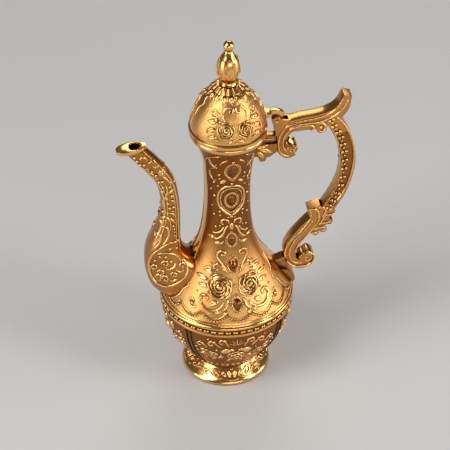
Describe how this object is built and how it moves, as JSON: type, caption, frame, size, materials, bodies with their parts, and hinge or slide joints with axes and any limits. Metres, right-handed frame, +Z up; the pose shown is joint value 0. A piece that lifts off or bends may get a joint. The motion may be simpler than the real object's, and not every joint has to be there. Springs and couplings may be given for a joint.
{
  "type": "coffee pot",
  "caption": "Footed ewer-shaped coffee pot with a slender neck, an S-shaped spout, a scrolled bow handle and a hinged domed lid with a finial.",
  "frame": {"origin": "centre of the flat underside that the pot stands on", "axes": "+Z up along the pot's axis, +X towards the handle, -X towards the spout, +Y across the thickness of the spout and handle"},
  "size_m": [0.1403, 0.0814, 0.24],
  "materials": {
    "gilt_body": "polished gilding with darkened recesses",
    "gilt_trim": "polished gilding",
    "fixing_brass": "plain turned brass"
  },
  "bodies": {
    "pot": {"base_plate": "gilt_trim", "foot": "gilt_body", "foot_bolt": "fixing_brass", "foot_nut": "fixing_brass", "foot_ring": "gilt_trim", "bowl": "gilt_body", "belt_ring": "gilt_trim", "upper_body": "gilt_body", "mouth_ring": "gilt_trim", "spout_near_half": "gilt_body", "spout_far_half": "gilt_body", "spout_lip": "gilt_trim", "neck_bracket": "gilt_trim", "handle_boss": "gilt_trim", "handle_dowels": "fixing_brass", "handle": "gilt_body", "hinge_pin": "fixing_brass"},
    "lid": {"lid_dome": "gilt_body", "lid_collar": "gilt_trim", "lid_leaf": "gilt_trim", "finial": "gilt_trim", "finial_collar": "gilt_trim", "finial_nut": "fixing_brass"}
  },
  "joints": [
    {"name": "lid_hinge", "type": "hinge", "parent": "pot", "child": "lid", "pos_m": [0.0278, 0, 0.1837], "axis": [0, 1, 0], "range_deg": [0, 90]}
  ]
}
